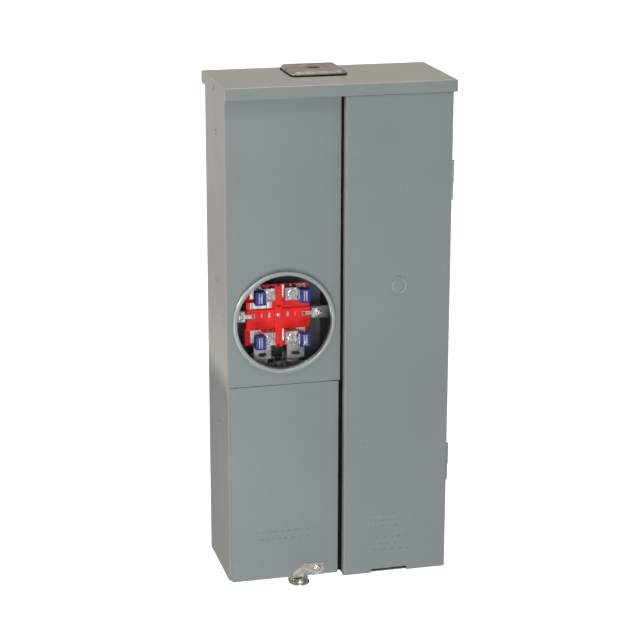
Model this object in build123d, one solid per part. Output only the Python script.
from build123d import *
import os

# Outdoor service-entrance device: a ring-type meter socket on the left, a main breaker and load centre behind a
# hinged door on the right, in one sheet-metal enclosure under a drip cap. Millimetres, +Z up, front faces -Y.
# Heights are measured from the bottom wall and depths from the back; write_nodes() then moves the origin to the
# middle of the four wall-bolt holes on the back face.

# Driving dimensions
BODY_WIDTH = 380.0
BODY_HEIGHT = 860.0
SHEET = 1.5
COVER_FACE = -163.0          # front of the meter covers
DOOR_FACE = -186.0           # front of the door
CAP_FACE = -190.0            # front of the drip cap
CAP_OVERHANG = 5.5
SKIRT = 20.0
SEAM = 350.0                 # joint between the upper and the lower meter cover
RING_X, RING_Z = -93.0, 460.0
RING_HOLE_R, RIM_R, RIM_FACE = 80.7, 88.2, -172.3
BOLT_SPACING_X, BOLT_SPACING_Z, BOLT_HOLE_R = 304.8, 720.0, 4.0
BEND_R = 2.5                 # outside radius of the sheet bends
RUN_GAP = 0.06               # radial play of a turning fit
SCREW_GAP = 0.15             # radial play of a screw in its hole

# Worked out from them
HALF = BODY_WIDTH / 2
INNER = HALF - SHEET
ORIGIN_Z = BODY_HEIGHT / 2
CAP_UNDER = BODY_HEIGHT - SHEET
SKIRT_BOTTOM = BODY_HEIGHT - SKIRT
COVER_BACK = COVER_FACE + SHEET
LEFT_FRONT = COVER_BACK + 0.3        # front of the left wall, just behind the covers
RIGHT_FRONT = DOOR_FACE + 12.6       # front of the right wall, just behind the door flange
DOOR_RIM = DOOR_FACE + 12.0          # back edge of the door flanges
BACK_IN = -SHEET                     # inside face of the back wall
WEB = (10.5, 12.0)                   # thickness of the divider web
LEFT_EDGE, RIGHT_EDGE = -189.5, 4.6  # sides of the upper meter cover
DOOR_LEFT = 6.4
DOOR_TOP = SKIRT_BOTTOM - 1.0
RAIL_BACK = (-158.7, -157.2)         # plane of the left header and seam rail

# Hinges at the door's right edge: the door's knuckle sits on the box's knuckle
HINGE_X, HINGE_Y, PIN_R = 192.2, -173.7, 1.6
HINGE_STEPS = (186.0, 684.7)
DOOR_KNUCKLE_R, BOX_KNUCKLE_R = 4.2, 3.2
DOOR_KNUCKLE_LEN, BOX_KNUCKLE_LEN = 38.0, 29.0

# Hub opening in the cap
HUB_X, HUB_Y, HUB_R, HUB_SIDE = -17.0, -60.0, 31.8, 95.0

# Meter socket
SOCKET_X, SOCKET_Z, SOCKET_HALF = -92.0, 459.0, 55.0
SOCKET_BACK, SOCKET_STEP, SOCKET_RIB = -92.0, -112.0, -120.0
TERMINAL_Z = 461.0                   # middle of the four terminals
JAW_DX, JAW_DZ, LUG_DX = 38.5, 38.5, 20.0
PLATE = 3.0                          # copper bar thickness
TERMINAL = (-115.0, -112.0)
BRACKET = (-120.0, -118.5)
GUIDE = (-156.0, -143.0)             # depth of the blue jaw guides
BRACKET_SCREWS = ((-160.0, 460.0), (-23.0, 460.0))

# Load centre
PAN_FACE = -27.5
BUS_FACE = -53.0
FIRST_SPACE, PITCH, SPACES = 525.4, 25.4, 10
BREAKER_X = 100.0
BREAKER = (55.0, 145.0), (-117.0, PAN_FACE), (375.0, 500.0)
HANDLE_Y, HANDLE_Z = -110.0, 437.5
HANDLE_TILT, HANDLE_PIN_R = 18.0, 2.0
DEADFRONT = (-121.5, -120.0)
DEADFRONT_SCREWS = [(x, z) for x in (30.0, 160.0) for z in (60.0, 785.0)]
SIDE_SCREWS = (265.0, 522.0, 772.0)  # heights
SIDE_SCREW_Y = -90.0
CAP_SCREW_Y, CAP_SCREW_Z = -105.0, 849.0
HASP_SCREW = (-34.2, 9.8)
LUG_HOLE = (-68.0, -173.5)


# ---------------------------------------------------------------- shapes
def block(x, y, z):
    """A box between two limits on each axis."""
    size = (x[1] - x[0], y[1] - y[0], z[1] - z[0])
    return Pos(x[0], y[0], z[0]) * Box(*size, align=(Align.MIN,) * 3)


def rod(axis, radius, span, at):
    """A cylinder along an axis between two limits, at the other two coordinates."""
    start, length = span[0], span[1] - span[0]
    cylinder = Cylinder(radius, length, align=(Align.CENTER, Align.CENTER, Align.MIN))
    if axis == "X":
        return Pos(start, at[0], at[1]) * Rot(0, 90, 0) * cylinder
    if axis == "Y":
        return Pos(at[0], start, at[1]) * Rot(-90, 0, 0) * cylinder
    return Pos(at[0], at[1], start) * cylinder


def plate_xz(points, y):
    """A flat plate facing the front, from (x, z) corners, between two depths."""
    plane = Plane(origin=(0, y[1], 0), x_dir=(1, 0, 0), z_dir=(0, -1, 0))
    return extrude(plane * Polygon(*points, align=None), amount=y[1] - y[0])


def rounded(shape, radius, axis, chosen):
    """Rounds the edges along an axis whose middle the test picks."""
    edges = shape.edges().filter_by(axis).filter_by(lambda edge: chosen(edge.center()))
    return fillet(edges, radius)


def near(value, target):
    return abs(value - target) < 0.01


def group(pieces):
    """Several separate solids in one node."""
    return Compound([solid for piece in pieces for solid in piece.solids()])


def mirrored(piece, x=BREAKER_X):
    """The piece and its mirror image about a vertical plane."""
    return [piece, mirror(piece, Plane.YZ.offset(x))]


# ---------------------------------------------------------------- fasteners
def cross_screw(head_r, head_h, shank_r, shank_len):
    """A cross-recess screw along Z: head above z = 0, shank below."""
    head = rod("Z", head_r, (0, head_h), (0, 0))
    head = fillet(head.edges().sort_by(Axis.Z)[-1], head_h * 0.55)
    body = head + rod("Z", shank_r, (-shank_len, 0), (0, 0))
    slot = head_r * 1.1
    for angle in (0, 90):
        body -= Pos(0, 0, head_h) * Rot(0, 0, angle) * Box(slot, head_r * 0.22, head_h * 1.1)
    return body


def slot_screw(head_r, head_h, shank_r, shank_len):
    """A slotted cheese-head screw along Z: head above z = 0, shank below."""
    head = rod("Z", head_r, (0, head_h), (0, 0))
    body = head + rod("Z", shank_r, (-shank_len, 0), (0, 0))
    return body - Pos(0, 0, head_h) * Box(3 * head_r, head_r * 0.28, head_h)


def low_dome(radius, height):
    """A rivet head along Z."""
    dome = rod("Z", radius, (0, height), (0, 0))
    return fillet(dome.edges().sort_by(Axis.Z)[-1], height * 0.8)


def to_front(screw, x, y, z):
    return Pos(x, y, z) * Rot(90, 0, 0) * screw


# ---------------------------------------------------------------- enclosure
def enclosure_shell():
    """Back wall and both side walls, folded from one sheet, with narrow front flanges."""
    tall = (0, CAP_UNDER)
    shell = block((-HALF, HALF), (BACK_IN, 0), tall)
    shell += block((-HALF, -INNER), (LEFT_FRONT, BACK_IN), tall)
    shell += block((-INNER, -176), (LEFT_FRONT, LEFT_FRONT + SHEET), (SHEET, CAP_UNDER))
    shell += block((INNER, HALF), (RIGHT_FRONT, BACK_IN), tall)
    shell += block((176, INNER), (RIGHT_FRONT, RIGHT_FRONT + SHEET), (SHEET, CAP_UNDER))
    shell = rounded(shell, BEND_R, Axis.Z, lambda p: near(abs(p.X), HALF))
    for x in (-BOLT_SPACING_X / 2, BOLT_SPACING_X / 2):
        for z in (-BOLT_SPACING_Z / 2, BOLT_SPACING_Z / 2):
            shell -= rod("Y", BOLT_HOLE_R, (-5, 5), (x, ORIGIN_Z + z))
    for z in SIDE_SCREWS:
        shell -= rod("X", 2.5 + SCREW_GAP, (-HALF - 1, -INNER + 1), (SIDE_SCREW_Y, z))
    for y, z in ((-132, 469), (-134, 455)):
        shell -= block((-HALF - 1, -INNER + 1), (y - 1.25, y + 1.25), (z - 4, z + 4))
    for side, inside in ((-HALF, -INNER), (HALF, INNER)):
        limits = tuple(sorted((side * 1.01, inside * 0.99)))
        shell -= rod("X", 2.0 + SCREW_GAP, limits, (CAP_SCREW_Y, CAP_SCREW_Z))
    for step in HINGE_STEPS:
        heights = (step - BOX_KNUCKLE_LEN - 1, step + DOOR_KNUCKLE_LEN + 2)
        shell -= block((187.5, HALF + 1), (RIGHT_FRONT - 1, -168.9), heights)
    return shell


KNOCKOUTS = ((-95, -80, 31.5), (62, -82, 25), (140, -82, 19))  # x, y, radius


def knockout_ring(x, y, radius):
    """The cut between a knockout and the wall, with the two ties that hold it."""
    cut = rod("Z", radius, (-1, SHEET + 1), (x, y)) - rod("Z", radius - 0.5, (-1, SHEET + 1), (x, y))
    return cut - block((x - 2, x + 2), (y - radius - 1, y + radius + 1), (-1, SHEET + 1))


def bottom_wall():
    """Floor of both compartments; the right half reaches in the door pan, with a lip beside the finger notch."""
    wall = block((-INNER, INNER), (LEFT_FRONT, BACK_IN), (0, SHEET))
    wall += block((14, 186.5), (-182.2, LEFT_FRONT), (0, SHEET))
    for x in ((14, 52), (125, 186.5)):
        wall += block(x, (-182.2, -182.2 + SHEET), (SHEET, 3.2))
    wall += block((-INNER, -INNER + SHEET), (-155, BACK_IN - 5), (SHEET, 12))
    for x, y, radius in KNOCKOUTS:
        wall -= knockout_ring(x, y, radius)
    return wall


def top_cap():
    """Drip cap: top sheet with a skirt at the front and both sides."""
    side = HALF + CAP_OVERHANG
    cap = block((-side, side), (CAP_FACE, 0), (CAP_UNDER, BODY_HEIGHT))
    cap += block((-side, side), (CAP_FACE, CAP_FACE + SHEET), (SKIRT_BOTTOM, CAP_UNDER))
    for x in ((-side, -side + SHEET), (side - SHEET, side)):
        cap += block(x, (CAP_FACE, 0), (SKIRT_BOTTOM, CAP_UNDER))
    cap = rounded(cap, 2.6, Axis.X, lambda p: near(p.Y, CAP_FACE) and near(p.Z, BODY_HEIGHT))
    cap = rounded(cap, 2.0, Axis.Y, lambda p: near(abs(p.X), side) and near(p.Z, BODY_HEIGHT))
    cap -= rod("Z", HUB_R, (CAP_UNDER - 1, BODY_HEIGHT + 1), (HUB_X, HUB_Y))
    for x in ((-side - 1, -side + 2), (side - 2, side + 1)):
        cap -= rod("X", 2.0 + SCREW_GAP, x, (CAP_SCREW_Y, CAP_SCREW_Z))
    return cap


def cap_screws():
    screw = cross_screw(4.2, 2.2, 2.0, 8.0)
    side = HALF + CAP_OVERHANG
    return group(
        [Pos(sign * side, CAP_SCREW_Y, CAP_SCREW_Z) * Rot(0, sign * 90, 0) * screw for sign in (-1, 1)]
    )


def side_wall_screws():
    screw = cross_screw(5.0, 2.6, 2.5, 9.0)
    return group([Pos(-HALF, SIDE_SCREW_Y, z) * Rot(0, -90, 0) * screw for z in SIDE_SCREWS])


def side_mounting_channel():
    """Channel inside the left wall, held by the three side screws."""
    heights = (240, 800)
    channel = block((-INNER, -INNER + SHEET), (-104, -76), heights)
    for y in ((-104, -104 + SHEET), (-76 - SHEET, -76)):
        channel += block((-INNER + SHEET, -176), y, heights)
    for z in SIDE_SCREWS:
        channel -= rod("X", 2.5 + SCREW_GAP, (-HALF, -180), (SIDE_SCREW_Y, z))
    return channel


def front_headers():
    """Cross plates that close the front behind the cap's skirt."""
    left = block((-INNER, WEB[0]), RAIL_BACK, (815, CAP_UNDER))
    right = block((WEB[1], INNER), (RIGHT_FRONT + SHEET, RIGHT_FRONT + 2 * SHEET), (820, CAP_UNDER))
    return group([left, right])


def cover_seam_rail():
    """Angle across the left compartment, behind the top of the lower cover."""
    rail = block((-INNER, WEB[0]), RAIL_BACK, (320, 336))
    return rail + block((-INNER + 12, -14), (RAIL_BACK[1], -146), (334.5, 336))


WINDOW_Y, WINDOW_Z = (-108.0, -62.0), (254.0, 373.0)


def compartment_divider():
    """Wall between the meter compartment and the load centre."""
    divider = block(WEB, (RIGHT_FRONT, BACK_IN), (SHEET, CAP_UNDER))
    divider += block((-12, WEB[0]), (RAIL_BACK[0] - SHEET, RAIL_BACK[0]), (SHEET, CAP_UNDER))
    divider += block((WEB[1], 24), (BACK_IN - SHEET, BACK_IN), (SHEET, CAP_UNDER))
    divider -= block((WEB[0] - 1, WEB[1] + 1), WINDOW_Y, WINDOW_Z)
    return divider - block((WEB[0] - 1, WEB[1] + 1), (-102, -14), (790, CAP_UNDER + 1))


def bus_window_bushing():
    """Moulded frame that grips the edge of the divider's window."""
    margin = 2.5
    outer_y = (WINDOW_Y[0] - margin, WINDOW_Y[1] + margin)
    outer_z = (WINDOW_Z[0] - margin, WINDOW_Z[1] + margin)
    inner_y = (WINDOW_Y[0] + margin, WINDOW_Y[1] - margin)
    inner_z = (WINDOW_Z[0] + margin, WINDOW_Z[1] - margin)
    frame = block((WEB[0] - margin, WEB[1] + margin), outer_y, outer_z)
    frame -= block((0, 20), inner_y, inner_z)
    return frame - (block(WEB, outer_y, outer_z) - block(WEB, WINDOW_Y, WINDOW_Z))


def door_gasket():
    """Black rubber strip between the meter covers and the door."""
    seat = RAIL_BACK[0] - SHEET
    strip = block((-8, WEB[0]), (seat - 1, seat), (SHEET, CAP_UNDER))
    bulb = block((DOOR_LEFT - 0.5, WEB[0]), (RIGHT_FRONT, seat - 1), (SHEET, CAP_UNDER))
    return strip + rounded(bulb, 1.5, Axis.Z, lambda p: near(p.Y, RIGHT_FRONT))


def door_catch():
    """Spring clip on the floor that the door's bottom hem closes against."""
    clip = block((80, 97), (-166, -146), (SHEET, 2.7))
    clip += block((80, 97), (-166, -164.8), (2.7, 11))
    return clip + block((80, 97), (-182.7, -164.8), (11, 12.2))


# ---------------------------------------------------------------- hub
def hub_gasket():
    half = HUB_SIDE / 2 + 1
    pad = block((HUB_X - half, HUB_X + half), (HUB_Y - half, HUB_Y + half), (BODY_HEIGHT, BODY_HEIGHT + 2.5))
    pad = rounded(pad, 12, Axis.Z, lambda p: True)
    return pad - rod("Z", HUB_R - 2, (BODY_HEIGHT - 1, BODY_HEIGHT + 4), (HUB_X, HUB_Y))


HUB_PLATE_Z = (BODY_HEIGHT + 2.5, BODY_HEIGHT + 8.0)


def hub_closing_plate():
    """Cast square plate with a dished middle for its screw."""
    half = HUB_SIDE / 2
    plate = block((HUB_X - half, HUB_X + half), (HUB_Y - half, HUB_Y + half), HUB_PLATE_Z)
    plate = rounded(plate, 12, Axis.Z, lambda p: True)
    plate = chamfer(plate.faces().sort_by(Axis.Z)[-1].edges(), 3.5)
    dish = Pos(HUB_X, HUB_Y, HUB_PLATE_Z[1]) * Cone(6.5, 11, 2.4, align=(Align.CENTER, Align.CENTER, Align.MAX))
    return plate - dish - rod("Z", 3.0 + SCREW_GAP, (HUB_PLATE_Z[0] - 1, HUB_PLATE_Z[1]), (HUB_X, HUB_Y))


def hub_clamp_bar():
    bar = block((HUB_X - 8, HUB_X + 8), (HUB_Y - 43, HUB_Y + 43), (CAP_UNDER - 3, CAP_UNDER))
    bar = rounded(bar, 4, Axis.Z, lambda p: True)
    return bar - rod("Z", 3.0 + SCREW_GAP, (CAP_UNDER - 4, CAP_UNDER + 1), (HUB_X, HUB_Y))


def hub_plate_screw():
    seat = HUB_PLATE_Z[1] - 2.4
    return Pos(HUB_X, HUB_Y, seat) * cross_screw(6.0, 3.0, 3.0, seat - CAP_UNDER + 6)


# ---------------------------------------------------------------- meter covers
def upper_meter_cover():
    """Sheet with a drawn collar and a rolled rim that the meter's sealing ring grips."""
    cover = block((LEFT_EDGE, RIGHT_EDGE), (COVER_FACE, COVER_BACK), (SEAM + 0.3, SKIRT_BOTTOM - 2))
    cover += rod("Y", RING_HOLE_R + 1.8, (RIM_FACE + 2, COVER_BACK), (RING_X, RING_Z))
    cover = fillet(cover.edges().filter_by(GeomType.CIRCLE).filter_by(lambda e: near(e.center().Y, COVER_FACE)), 2.5)
    rim = rod("Y", RIM_R, (RIM_FACE, RIM_FACE + 4.4), (RING_X, RING_Z))
    rim = fillet(rim.edges().filter_by(GeomType.CIRCLE), 2.1)
    cover += rim
    cover -= rod("Y", RING_HOLE_R, (RIM_FACE - 1, COVER_BACK + 1), (RING_X, RING_Z))
    lip = cover.edges().filter_by(GeomType.CIRCLE).filter_by(
        lambda e: near(e.radius, RING_HOLE_R) and near(e.center().Y, RIM_FACE)
    )
    return fillet(lip, 1.8)


LOWER_LEFT, LOWER_RIGHT, LOWER_BOTTOM = -185.3, 2.1, -2.7


def lower_utility_cover():
    """Flat cover with a joggled tongue that tucks behind the upper cover."""
    cover = block((LOWER_LEFT, LOWER_RIGHT), (COVER_FACE, COVER_BACK), (LOWER_BOTTOM, SEAM - 1))
    cover += block((-172, -14), (LEFT_FRONT, LEFT_FRONT + SHEET), (SEAM - 7, SEAM + 7))
    cover += block((-172, -14), (COVER_BACK, LEFT_FRONT), (SEAM - 7, SEAM - 1.2))
    return cover - rod("Y", 2.2 + SCREW_GAP, (COVER_FACE - 1, COVER_BACK + 1), HASP_SCREW)


def seal_hasp():
    """Plated arm screwed to the lower cover; its foot lies on the fixed lug so that one seal passes both."""
    face = (COVER_FACE - 1.5, COVER_FACE)
    outline = [(-23, -3), (-23, 19), (-58, 20.5), (-77, 5), (-77, -10), (-59, -10), (-59, 2), (-44, 2), (-44, -3)]
    hasp = plate_xz(outline, face)
    hasp += block((-77, -59), (LUG_HOLE[1], COVER_FACE), (-10, -8.5))
    hasp += rod("Z", 9, (-10, -8.5), LUG_HOLE)
    hasp -= rod("Z", 6, (-11, -8), LUG_HOLE)
    hasp -= block((-75, -61), (COVER_FACE - 2, COVER_FACE + 1), (-7.2, -5.2))
    return hasp - rod("Y", 2.2 + SCREW_GAP, (COVER_FACE - 2, COVER_FACE + 1), HASP_SCREW)


def hasp_screw():
    return to_front(cross_screw(5.4, 3.0, 2.2, 7.0), HASP_SCREW[0], COVER_FACE - 1.5, HASP_SCREW[1])


def sealing_lug():
    """Fixed lug under the floor, which the hasp's foot lies on."""
    middle = LUG_HOLE[0] + 0.5
    lug = block((middle - 17.5, middle + 17.5), (-166.5, -156), (-12.2, -10.2))
    lug += rod("Z", 17.5, (-12.2, -10.2), (middle, -166.5))
    lug += block((middle - 17.5, middle + 17.5), (-158, -156), (-12.2, 0))
    lug += block((middle - 17.5, middle + 17.5), (-156, -136), (-2, 0))
    return lug - rod("Z", 6, (-13, -9), LUG_HOLE)


# ---------------------------------------------------------------- door
NOTCH_X, NOTCH_HEIGHT = (56.5, 120.5), 6.6


def door_panel():
    """Door pan with flanges on three sides and a folded hem with a finger notch at the bottom."""
    tall = (0, DOOR_TOP)
    door = block((DOOR_LEFT, HALF), (DOOR_FACE, DOOR_FACE + SHEET), tall)
    door += block((DOOR_LEFT, DOOR_LEFT + SHEET), (DOOR_FACE, DOOR_RIM), tall)
    door += block((INNER, HALF), (DOOR_FACE, DOOR_RIM), tall)
    door += block((DOOR_LEFT, HALF), (DOOR_FACE, DOOR_RIM), (DOOR_TOP - SHEET, DOOR_TOP))
    door += block((DOOR_LEFT + SHEET, INNER), (DOOR_FACE + SHEET, DOOR_FACE + 2 * SHEET), (0, 9))
    outer = (DOOR_LEFT, HALF)
    door = rounded(
        door, BEND_R, Axis.Z, lambda p: near(p.Y, DOOR_FACE) and any(near(p.X, x) for x in outer)
    )
    door -= block(NOTCH_X, (DOOR_FACE - 1, DOOR_FACE + 4), (-1, NOTCH_HEIGHT))
    for step in HINGE_STEPS:
        heights = (step - BOX_KNUCKLE_LEN - 1, step + DOOR_KNUCKLE_LEN + 2)
        door -= block((INNER - 1, HALF + 1), (-178.9, DOOR_RIM + 1), heights)
    return door


def hinge_door_leaves():
    """Upper hinge halves, which turn with the door."""
    leaves = []
    for step in HINGE_STEPS:
        heights = (step + 0.4, step + DOOR_KNUCKLE_LEN)
        leaf = rod("Z", DOOR_KNUCKLE_R, heights, (HINGE_X, HINGE_Y))
        leaf += block((HALF, HALF + 1.5), (-184, HINGE_Y), heights)
        leaves.append(leaf - rod("Z", PIN_R + RUN_GAP, (step, step + DOOR_KNUCKLE_LEN + 1), (HINGE_X, HINGE_Y)))
    return group(leaves)


def hinge_box_leaves():
    """Lower hinge halves, welded to the right wall."""
    leaves = []
    for step in HINGE_STEPS:
        heights = (step - BOX_KNUCKLE_LEN, step)
        leaf = rod("Z", BOX_KNUCKLE_R, heights, (HINGE_X, HINGE_Y))
        leaf += block((HALF, HALF + 1.5), (HINGE_Y, -148), heights)
        leaves.append(leaf - rod("Z", PIN_R, (step - BOX_KNUCKLE_LEN + 3, step + 1), (HINGE_X, HINGE_Y)))
    return group(leaves)


def hinge_pins():
    return group(
        [
            rod("Z", PIN_R, (step - BOX_KNUCKLE_LEN + 3, step + DOOR_KNUCKLE_LEN - 2), (HINGE_X, HINGE_Y))
            for step in HINGE_STEPS
        ]
    )


# ---------------------------------------------------------------- meter socket
def around_socket(dx, dz):
    """Centres, left and right, of the pieces that repeat above and below the middle of the terminals."""
    return [(SOCKET_X + side * dx, TERMINAL_Z + dz) for side in (-1, 1)]


def socket_block():
    """Red moulded block: base, stepped cross for the terminals, vertical rib and horizontal band."""
    left, right = SOCKET_X - SOCKET_HALF, SOCKET_X + SOCKET_HALF
    low, high = SOCKET_Z - SOCKET_HALF, SOCKET_Z + SOCKET_HALF
    body = block((left, right), (-104, SOCKET_BACK), (low, high))
    body += block((SOCKET_X - 31, SOCKET_X + 31), (SOCKET_STEP, -104), (low, high))
    body += block((left, right), (-116, -104), (SOCKET_Z - 24, SOCKET_Z + 24))
    body += block((left, right), (SOCKET_RIB, -116), (SOCKET_Z - 10, SOCKET_Z + 11))
    body += block((SOCKET_X - 6.3, SOCKET_X + 6.3), (SOCKET_RIB, -104), (low, high))
    for x in (SOCKET_X - 54, SOCKET_X + 6.3):
        body += block((x, x + 47.7), (-117, -104), (high - 3, high))
    for side in (-1, 1):
        x = SOCKET_X + side * 7.3
        body -= block((x - 0.5, x + 0.5), (SOCKET_RIB - 1, -117.5), (low - 1, high + 1))
    for z in (low, high):
        body -= block((SOCKET_X - 2, SOCKET_X + 2), (SOCKET_RIB - 1, -106), (z - 4.5, z + 4.5))
    body -= block((SOCKET_X - 4.2, SOCKET_X + 4.2), (SOCKET_RIB - 1, -112), (SOCKET_Z + 14.5, SOCKET_Z + 17.5))
    for side in (-1, 1):
        x = SOCKET_X + side * 44.5
        body -= block((x - 2.5, x + 2.5), (SOCKET_RIB - 1, -117), (SOCKET_Z - 3.5, SOCKET_Z + 3.5))
    # The top slopes down to the back, clear of the line conductors.
    slope = Pos(SOCKET_X, SOCKET_RIB - 0.01, high) * Rot(-17, 0, 0)
    body -= slope * Box(200, 100, 30, align=(Align.CENTER, Align.MIN, Align.MIN))
    for piece in (socket_rivet(), socket_inserts()):
        body -= piece
    return body


def socket_rivet():
    rivet = Pos(SOCKET_X, SOCKET_RIB, SOCKET_Z + 1) * Rot(90, 0, 0)
    head = rivet * low_dome(4.2, 2.4)
    return head + rod("Y", 2.4, (SOCKET_RIB, SOCKET_BACK), (SOCKET_X, SOCKET_Z + 1))


def socket_inserts():
    """Small plated inserts pressed in the band each side of the rivet."""
    pieces = []
    for x, width, tall in ((16.0, 3.4, 8.5), (29.0, 1.4, 6.0)):
        for side in (-1, 1):
            middle = SOCKET_X + side * x
            limits = (middle - width / 2, middle + width / 2)
            heights = (SOCKET_Z + 1 - tall / 2, SOCKET_Z + 1 + tall / 2)
            pieces.append(block(limits, (SOCKET_RIB - 0.4, SOCKET_RIB + 3), heights))
    return group(pieces)


def socket_label():
    return block((-142, -103.5), (-116.4, -116), (471.5, 482.5))


def socket_brackets():
    """Angle brackets that hold the block to the left wall and to the divider."""
    heights = (449.5, 470.5)
    left = block((-INNER, SOCKET_X - 57), BRACKET, heights)
    left += block((-INNER, -INNER + SHEET), (BRACKET[1], -106), heights)
    right = block((SOCKET_X + 57, WEB[0]), BRACKET, heights)
    right += block((WEB[0] - SHEET, WEB[0]), (BRACKET[1], -106), heights)
    left -= rod("Y", 2.6 + SCREW_GAP, (-121, -118), BRACKET_SCREWS[0])
    right -= rod("Y", 2.6 + SCREW_GAP, (-121, -118), BRACKET_SCREWS[1])
    return group([left, right])


def socket_tabs():
    """Plated straps from the bracket screws to the ends of the block's band."""
    tabs = []
    for (x, z), side in zip(BRACKET_SCREWS, (-1, 1)):
        tip = SOCKET_X + side * 41
        strap = block(tuple(sorted((x, tip))), (SOCKET_RIB - 1.5, SOCKET_RIB), (z - 3.6, z + 3.6))
        wide = SOCKET_X + side * 58
        strap += block(tuple(sorted((x, wide))), (SOCKET_RIB - 1.5, SOCKET_RIB), (z - 8, z + 8))
        strap += rod("Y", 8, (SOCKET_RIB - 1.5, SOCKET_RIB), (x, z))
        slot = SOCKET_X + side * 44.5
        strap -= block((slot - 2.2, slot + 2.2), (-123, -119), (z - 2.6, z + 2.6))
        strap -= rod("Y", 2.6 + SCREW_GAP, (-123, -119), (x, z))
        tabs.append(strap)
    return group(tabs)


def bracket_screws():
    screw = cross_screw(6.2, 3.4, 2.6, 10)
    return group([to_front(screw, x, SOCKET_RIB - 1.5, z) for x, z in BRACKET_SCREWS])


def jaw_centres():
    return around_socket(JAW_DX, JAW_DZ) + around_socket(JAW_DX, -JAW_DZ)


def jaw_guides():
    """Blue moulded guides that lead the meter's blades in the jaws."""
    guides = []
    for x, z in jaw_centres():
        guide = block((x - 9.5, x + 9.5), GUIDE, (z - 12, z + 12))
        guide = rounded(guide, 2.5, Axis.Y, lambda p: True)
        guide = chamfer(guide.faces().sort_by(Axis.Y)[0].edges(), 1.2)
        guide -= block((x - 3.1, x + 3.1), (GUIDE[0] - 1, GUIDE[1] + 1), (z - 9.2, z + 9.2))
        for end in (-1, 1):
            guide -= block((x - 5, x + 5), (GUIDE[0] - 1, GUIDE[0] + 3), (z + end * 8 - 1.2, z + end * 8 + 1.2))
        guides.append(guide)
    return group(guides)


def jaw_clips():
    """Sprung clips of two leaves on a foot, bolted on the terminal plates."""
    clips = []
    for x, z in jaw_centres():
        clip = block((x - 7, x + 7), (TERMINAL[0] - 1.5, TERMINAL[0]), (z - 9, z + 9))
        for side in (-1, 1):
            leaf = tuple(sorted((x + side * 1.5, x + side * 3.0)))
            clip += block(leaf, (GUIDE[0] + 1, TERMINAL[0] - 1.5), (z - 9, z + 9))
        clips.append(clip)
    return group(clips)


def plate_x(side):
    """The two sides of a terminal plate, from the lug to the jaw."""
    return tuple(sorted((SOCKET_X + side * 8, SOCKET_X + side * 48)))


def line_terminal_plates():
    z = TERMINAL_Z + JAW_DZ
    return group([block(plate_x(side), TERMINAL, (z - 11, z + 11)) for side in (-1, 1)])


def terminal_body(x, z, bore):
    """Clamping body on a terminal plate, 22 mm square, with a screw hole in front."""
    body = block((x - 11, x + 11), (-135, TERMINAL[0]), (z - 11, z + 11))
    body = rounded(body, 1.5, Axis.Y, lambda p: True)
    body -= rod("Y", 4.0 + SCREW_GAP, (-136, -124), (x, z))
    return body - rod("Z", bore, (z - 12, z + 12), (x, -124))


def line_lugs():
    return group([terminal_body(x, z, 6.9) for x, z in around_socket(LUG_DX, JAW_DZ)])


def load_terminal_blocks():
    return group([terminal_body(x, z, 5.0) for x, z in around_socket(LUG_DX, -JAW_DZ)])


def terminal_screws():
    screw = slot_screw(6.4, 2.4, 4.0, 4.0)
    centres = around_socket(LUG_DX, JAW_DZ) + around_socket(LUG_DX, -JAW_DZ)
    return group([Pos(x, -135, z) * Rot(90, 0, 0) * Rot(0, 0, -35) * screw for x, z in centres])


# ---------------------------------------------------------------- bus bars and neutral
def load_bus_bar(side, tab_x, depth, run_z, end_x):
    """Bar from a lower jaw back, across through the divider and up in the main breaker."""
    z = TERMINAL_Z - JAW_DZ
    tab_z = 381.0
    bar = block(plate_x(side), TERMINAL, (z - 11, z + 11))
    bar += block(tab_x, TERMINAL, (tab_z, z - 11))
    bar += block(tab_x, (TERMINAL[1], depth), (tab_z, tab_z + PLATE))
    bar += block(tab_x, (depth, depth + PLATE), (run_z, tab_z + PLATE))
    bar += block((tab_x[0], end_x), (depth, depth + PLATE), (run_z, run_z + 25))
    bar += block((end_x - 18, end_x), (depth, depth + PLATE), (run_z, 392))
    middle, height = sum(tab_x) / 2, tab_z + 8.0
    for end in (middle - 4, middle + 4):
        bar -= rod("Y", 3.2, (-116, -111), (end, height))
    return bar - block((middle - 4, middle + 4), (-116, -111), (height - 3.2, height + 3.2))


def load_bus_bars():
    left = load_bus_bar(-1, (-134.0, -104.0), -88.0, 340.0, 84.0)
    right = load_bus_bar(1, (-76.0, -46.0), -78.0, 300.0, 134.0)
    return group([left, right])


NEUTRAL_LUG = (-97.0, -70.0), (-128.0, -99.0), (349.0, 379.0)


def neutral_lug():
    x, y, z = NEUTRAL_LUG
    lug = rounded(block(x, y, z), 2.5, Axis.Y, lambda p: True)
    middle = sum(x) / 2
    lug -= rod("Z", 7.5, (z[0] - 1, z[1] + 1), (middle, -112))
    return lug - rod("Y", 7.0 + SCREW_GAP, (y[0] - 1, -112), (middle, sum(z) / 2))


def ground_lug():
    """Lug for the ground wire, bolted on the back wall near the floor."""
    lug = block((-52, -28), (-20, BACK_IN), (50, 76))
    lug -= rod("Z", 5, (49, 77), (-40, -11))
    return lug - rod("Y", 5.0 + SCREW_GAP, (-21, -11), (-40, 63))


def lug_set_screws():
    """Recessed hexagon-socket screws of the neutral and ground lugs."""
    screws = []
    for x, z, y, radius, depth in ((-83.5, 364.0, -128.4, 7.0, 8.5), (-40.0, 63.0, -20.4, 5.0, 4.0)):
        screw = rod("Y", radius, (y, y + depth), (x, z))
        hexagon = Plane(origin=(x, y, z), x_dir=(1, 0, 0), z_dir=(0, -1, 0)) * RegularPolygon(radius * 0.55, 6)
        screws.append(screw - extrude(hexagon, amount=-depth * 0.6))
    return group(screws)


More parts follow.
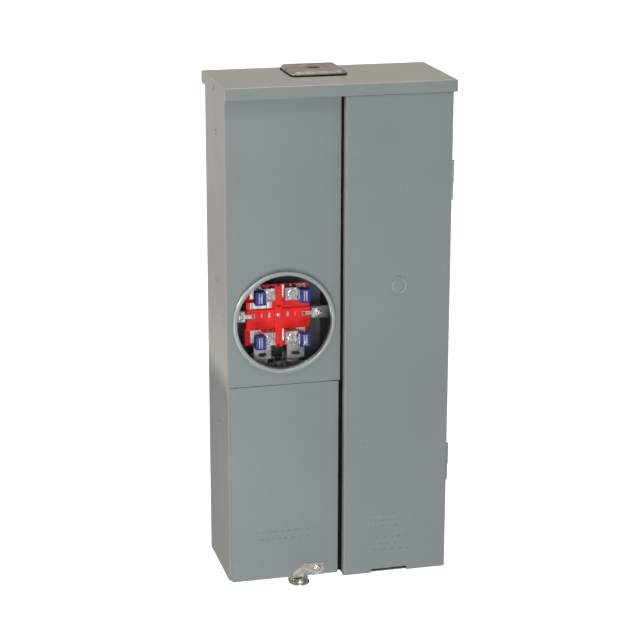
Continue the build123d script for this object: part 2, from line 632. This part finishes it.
def neutral_strap():
    """Strap from the neutral lug through the divider's window to the neutral bar."""
    y = (NEUTRAL_LUG[1][1], NEUTRAL_LUG[1][1] + PLATE)
    run = (262.0, 282.0)
    strap = block(NEUTRAL_LUG[0], y, (run[0], NEUTRAL_LUG[2][1]))
    strap += block((NEUTRAL_LUG[0][0], 44), y, run)
    strap += block((41, 44), (y[1], -40), run)
    return strap + block((29, 44), (-43, -40), (run[0], 545))


# ---------------------------------------------------------------- load centre
def interior_pan():
    """Raised pan that carries the load centre's bars."""
    heights = (345, 780)
    pan = block((22, 178), (PAN_FACE, PAN_FACE + SHEET), heights)
    for x in ((22, 22 + SHEET), (178 - SHEET, 178)):
        pan += block(x, (PAN_FACE + SHEET, BACK_IN - SHEET), heights)
    for x in ((26, 34), (166, 174)):
        pan += block(x, (PAN_FACE + SHEET, BACK_IN), (350, 358))
        pan += block(x, (PAN_FACE + SHEET, BACK_IN), (767, 775))
    for x, z in PAN_SCREWS:
        pan -= rod("Y", 2.0 + SCREW_GAP, (PAN_FACE - 1, PAN_FACE + 8), (x, z))
    return pan


PAN_SCREWS = [(x, z) for x in (30.0, 170.0) for z in (354.0, 771.0)]


def pan_screws():
    screw = cross_screw(4.0, 2.2, 2.0, 6.5)
    return group([to_front(screw, x, PAN_FACE, z) for x, z in PAN_SCREWS])


def bus_insulator():
    return block((66, 134), (BUS_FACE, PAN_FACE), (510, FIRST_SPACE + PITCH * SPACES))


def hot_bus_bars():
    """Two bars with plug-on stabs in the middle that belong to them in turn."""
    y = (BUS_FACE - PLATE, BUS_FACE)
    top = FIRST_SPACE + PITCH * (SPACES - 0.5)
    bars = []
    for side, first in ((-1, 0), (1, 1)):
        inner, outer = BREAKER_X + side * 8, BREAKER_X + side * 20
        bar = block(tuple(sorted((inner, outer))), y, (486, top))
        for index in range(first, SPACES, 2):
            z = FIRST_SPACE + PITCH * index
            bar += block(tuple(sorted((inner, BREAKER_X - side * 6))), y, (z - 5, z + 5))
            bar += block((BREAKER_X - 6, BREAKER_X + 6), (y[0] - 16, y[0]), (z - 1, z + 1))
        bars.append(bar)
    return group(bars)


def breaker_rails():
    """Hook rails that the outer feet of the branch breakers clip on."""
    heights = (512, FIRST_SPACE + PITCH * SPACES)
    rail = block((50, 56), (-60, PAN_FACE), heights)
    rail += block((50, 60), (-60, -57.5), heights)
    return group(mirrored(rail))


BAR_SCREW_PITCH = 14.0
NEUTRAL_BARS = [(34.0, 524.0, 16), (166.0, 524.0, 16)]  # x of the middle, first screw height, screws
GROUND_BAR = (156.0, 118.0, 7)


def terminal_bar(x, first, count, y_front):
    """Square bar with a wire hole behind each screw."""
    heights = (first - 7, first + BAR_SCREW_PITCH * (count - 1) + 7)
    bar = block((x - 5, x + 5), (y_front, y_front + 12.5), heights)
    for index in range(count):
        z = first + BAR_SCREW_PITCH * index
        bar -= rod("Y", 2.2 + SCREW_GAP, (y_front - 1, y_front + 6), (x, z))
        bar -= rod("X", 2.6, (x - 6, x + 6), (y_front + 8, z))
    return bar


def neutral_bars():
    return group([terminal_bar(x, first, count, PAN_FACE - 12.5) for x, first, count in NEUTRAL_BARS])


def ground_bar():
    return terminal_bar(*GROUND_BAR, BACK_IN - 12.5)


def terminal_bar_screws():
    screw = slot_screw(3.4, 2.0, 2.2, 5.2)
    places = []
    for (x, first, count), y in [(bar, PAN_FACE - 12.5) for bar in NEUTRAL_BARS] + [(GROUND_BAR, BACK_IN - 12.5)]:
        # The strap lies on the lowest screws of the left bar.
        skipped = 2 if x < 100 else 0
        places += [(x, y, first + BAR_SCREW_PITCH * index) for index in range(skipped, count)]
    return group([to_front(screw, *place) for place in places])


# ---------------------------------------------------------------- main breaker and deadfront
def main_breaker_case():
    x, y, z = BREAKER
    case = rounded(block(x, y, z), 3, Axis.Y, lambda p: True)
    case += block((75, 125), (-128, y[0]), (415, 460))
    case -= block((66 - 0.5, 84 + 0.5), (-89, -84), (z[0] - 1, 393))
    case -= block((116 - 0.5, 134 + 0.5), (-79, -74), (z[0] - 1, 393))
    for side in (-1, 1):
        limits = tuple(sorted((BREAKER_X + side * 7.5, BREAKER_X + side * 20.5)))
        case -= block(limits, (BUS_FACE - PLATE - 0.5, BUS_FACE + 0.5), (485, z[1] + 1))
    case -= block((BREAKER_X - 11, BREAKER_X + 11), (-129, -101), (418, 457))
    return case - rod("X", HANDLE_PIN_R, (80, 120), (HANDLE_Y, HANDLE_Z))


def handle_pivot_pin():
    return rod("X", HANDLE_PIN_R, (80, 120), (HANDLE_Y, HANDLE_Z))


def main_breaker_handle():
    """Toggle in its upper position."""
    hub = rod("X", 8, (BREAKER_X - 10, BREAKER_X + 10), (0, 0))
    lever = block((BREAKER_X - 10, BREAKER_X + 10), (-38, 0), (-4, 4))
    lever = rounded(lever, 2.5, Axis.X, lambda p: near(p.Y, -38))
    handle = hub + lever - rod("X", HANDLE_PIN_R + RUN_GAP, (BREAKER_X - 11, BREAKER_X + 11), (0, 0))
    return Pos(0, HANDLE_Y, HANDLE_Z) * Rot(-HANDLE_TILT, 0, 0) * handle


FILLER_X = ((43.0, 96.0), (104.0, 157.0))
FILLER_Z = (FIRST_SPACE - PITCH / 2, FIRST_SPACE + PITCH * (SPACES - 0.5))


def deadfront():
    """Inner cover over the live parts, with an opening for the toggle and one for each row of breakers."""
    cover = block((14, 174.5), DEADFRONT, (40, 806))
    cover = rounded(cover, 4, Axis.Y, lambda p: True)
    cover -= block((73, 127), (-123, -119), (413, 462))
    for x in FILLER_X:
        cover -= block(x, (-123, -119), FILLER_Z)
    for x, z in DEADFRONT_SCREWS:
        cover -= rod("Y", 2.5 + SCREW_GAP, (-123, -119), (x, z))
    return cover


def deadfront_supports():
    """Cross channels that the deadfront is screwed to."""
    supports = []
    for z in sorted({z for _, z in DEADFRONT_SCREWS}):
        channel = block((WEB[1], INNER), (DEADFRONT[1], DEADFRONT[1] + SHEET), (z - 12, z + 12))
        for flange in ((z - 12, z - 12 + SHEET), (z + 12 - SHEET, z + 12)):
            channel += block((WEB[1], INNER), (DEADFRONT[1] + SHEET, -106), flange)
        for x in (30.0, 160.0):
            channel -= rod("Y", 2.5 + SCREW_GAP, (-121, -118), (x, z))
        supports.append(channel)
    return group(supports)


def deadfront_screws():
    screw = cross_screw(5.5, 3.0, 2.5, 8.0)
    return group([to_front(screw, x, DEADFRONT[0], z) for x, z in DEADFRONT_SCREWS])


def filler_plates():
    """Blank inserts over the unused breaker spaces."""
    fillers = []
    for x in FILLER_X:
        for index in range(SPACES):
            z = FIRST_SPACE + PITCH * index
            front = block((x[0] - 1.2, x[1] + 1.2), (-123.2, DEADFRONT[0]), (z - 12.4, z + 12.4))
            front += block((x[0] + 0.4, x[1] - 0.4), (DEADFRONT[0], -117), (z - 11.5, z + 11.5))
            fillers.append(front)
    return group(fillers)


# ---------------------------------------------------------------- nodes
MAKERS = (
    enclosure_shell, bottom_wall, top_cap, cap_screws, side_wall_screws, side_mounting_channel, front_headers,
    cover_seam_rail, compartment_divider, bus_window_bushing, door_gasket, door_catch, hub_gasket,
    hub_closing_plate, hub_clamp_bar, hub_plate_screw, upper_meter_cover, lower_utility_cover, seal_hasp,
    hasp_screw, sealing_lug, door_panel, hinge_door_leaves, hinge_box_leaves, hinge_pins, socket_block,
    socket_rivet, socket_inserts, socket_label, socket_brackets, socket_tabs, bracket_screws, jaw_guides,
    jaw_clips, line_terminal_plates, line_lugs, load_terminal_blocks, terminal_screws, load_bus_bars,
    neutral_lug, ground_lug, lug_set_screws, neutral_strap, interior_pan, pan_screws, bus_insulator,
    hot_bus_bars, breaker_rails, neutral_bars, ground_bar, terminal_bar_screws, main_breaker_case,
    handle_pivot_pin, main_breaker_handle, deadfront, deadfront_supports, deadfront_screws, filler_plates,
)


def write_nodes():
    os.makedirs("parts", exist_ok=True)
    for maker in MAKERS:
        export_step(Pos(0, 0, -ORIGIN_Z) * maker(), f"parts/{maker.__name__}.step")


write_nodes()
